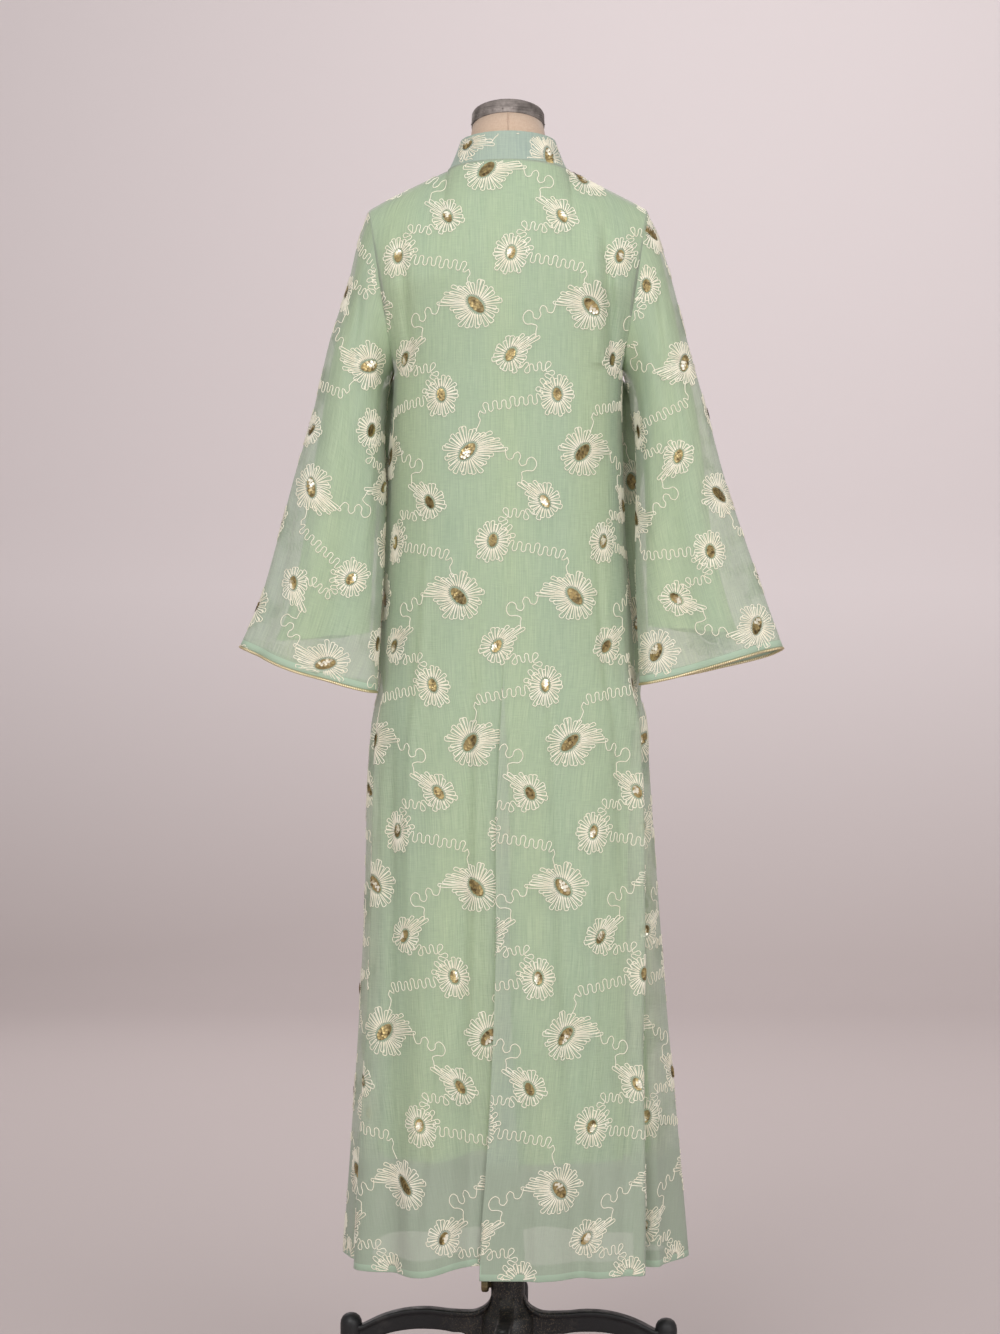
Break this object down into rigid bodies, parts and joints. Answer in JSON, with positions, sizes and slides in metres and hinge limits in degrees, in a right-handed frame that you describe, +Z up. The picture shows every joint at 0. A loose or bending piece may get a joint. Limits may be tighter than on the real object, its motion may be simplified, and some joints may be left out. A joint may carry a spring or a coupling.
{
  "type": "abaya on a dress form",
  "caption": "Full-length sheer lined abaya with bell sleeves and a stand collar, worn by a limbless dress form on an adjustable post in an arched cast base.",
  "frame": {"origin": "on the floor, on the axis of the form's post", "axes": "+Z up; -Y the way the garment's back faces, which the picture shows; +X the wearer's right-hand side"},
  "size_m": [0.697, 0.4506, 1.748],
  "materials": {
    "voile": "sheer mint-green voile with cream cord embroidery",
    "lining_cloth": "plain green lining, satin",
    "gold_cord": "metallic gold piping",
    "linen": "beige linen over a hard shell",
    "cap_metal": "worn grey metal",
    "cast_iron": "worn black enamel",
    "screw_brass": "dull brass",
    "post_steel": "blackened steel"
  },
  "bodies": {
    "stand": {"stand_hub": "cast_iron", "stand_arm_1": "cast_iron", "stand_arm_2": "cast_iron", "stand_arm_3": "cast_iron", "stand_arm_4": "cast_iron", "stand_leg_1": "cast_iron", "stand_leg_2": "cast_iron", "stand_leg_3": "cast_iron", "stand_leg_4": "cast_iron"},
    "form": {"form_torso": "linen", "neck_cap": "cap_metal", "form_post": "post_steel", "back_panel": "voile", "front_left": "voile", "front_right": "voile", "sleeve_left": "voile", "sleeve_right": "voile", "collar": "voile", "cuff_piping_left": "gold_cord", "cuff_piping_right": "gold_cord", "lining_back": "lining_cloth", "lining_front": "lining_cloth", "sleeve_lining_left": "lining_cloth", "sleeve_lining_right": "lining_cloth"},
    "clamp": {"clamp_screw": "screw_brass"}
  },
  "joints": [
    {"name": "height_slide", "type": "slide", "parent": "stand", "child": "form", "axis": [0, 0, 1], "range_m": [0, 0.13]},
    {"name": "clamp_turn", "type": "hinge", "parent": "stand", "child": "clamp", "pos_m": [-0.0269, 0, 0.2175], "axis": [-1, 0, 0], "range_deg": [-90, 180]}
  ]
}
